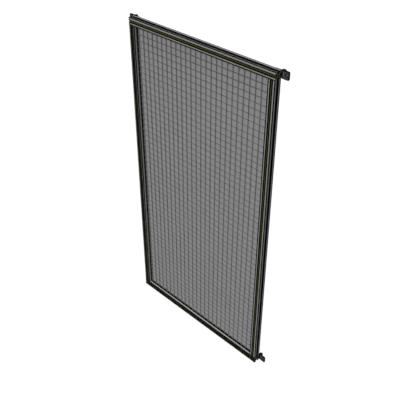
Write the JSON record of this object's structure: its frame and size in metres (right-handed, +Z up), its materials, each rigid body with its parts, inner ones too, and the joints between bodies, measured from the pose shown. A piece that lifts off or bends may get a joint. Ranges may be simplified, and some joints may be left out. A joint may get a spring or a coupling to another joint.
{
  "type": "machine guard fence panel",
  "caption": "Upright guard panel: T-slot aluminium frame around welded square mesh with a thin sheet behind it, hung between posts on corner brackets.",
  "frame": {"origin": "on the seating face of the lower left bracket's tab, between the tab's hole and the frame, at the bottom rail's mid-height", "axes": "+X along the panel from the left stile to the right one, +Y from the front to the back, +Z up"},
  "size_m": [0.76, 0.046, 1.325],
  "materials": {
    "frame": "fine-ground natural anodised extrusion, satin",
    "mesh": "dark grey powder coat on welded wire",
    "sheet": "plain grey sheet, matt",
    "edging": "black channel edging, matt",
    "cover_strip": "olive yellow moulded strip, satin",
    "bracket": "black powder coat on a zinc casting",
    "fastener": "zinc plated steel"
  },
  "bodies": {
    "root": {"bottom_rail": "frame", "top_rail": "frame", "left_stile": "frame", "right_stile": "frame", "lower_mesh": "mesh", "lower_middle_mesh": "mesh", "upper_middle_mesh": "mesh", "upper_mesh": "mesh", "backing_sheet": "sheet", "bottom_edging": "edging", "top_edging": "edging", "left_edging": "edging", "right_edging": "edging", "bottom_cover_strip": "cover_strip", "top_cover_strip": "cover_strip", "left_cover_strip": "cover_strip", "right_cover_strip": "cover_strip", "lower_left_bracket": "bracket", "lower_right_bracket": "bracket", "upper_left_bracket": "bracket", "upper_right_bracket": "bracket", "lower_left_bracket_screw": "fastener", "lower_right_bracket_screw": "fastener", "upper_left_bracket_screw": "fastener", "upper_right_bracket_screw": "fastener", "lower_left_slot_nut": "fastener", "lower_right_slot_nut": "fastener", "upper_left_slot_nut": "fastener", "upper_right_slot_nut": "fastener", "lower_left_corner_screw": "fastener", "lower_right_corner_screw": "fastener", "upper_left_corner_screw": "fastener", "upper_right_corner_screw": "fastener"}
  },
  "joints": []
}
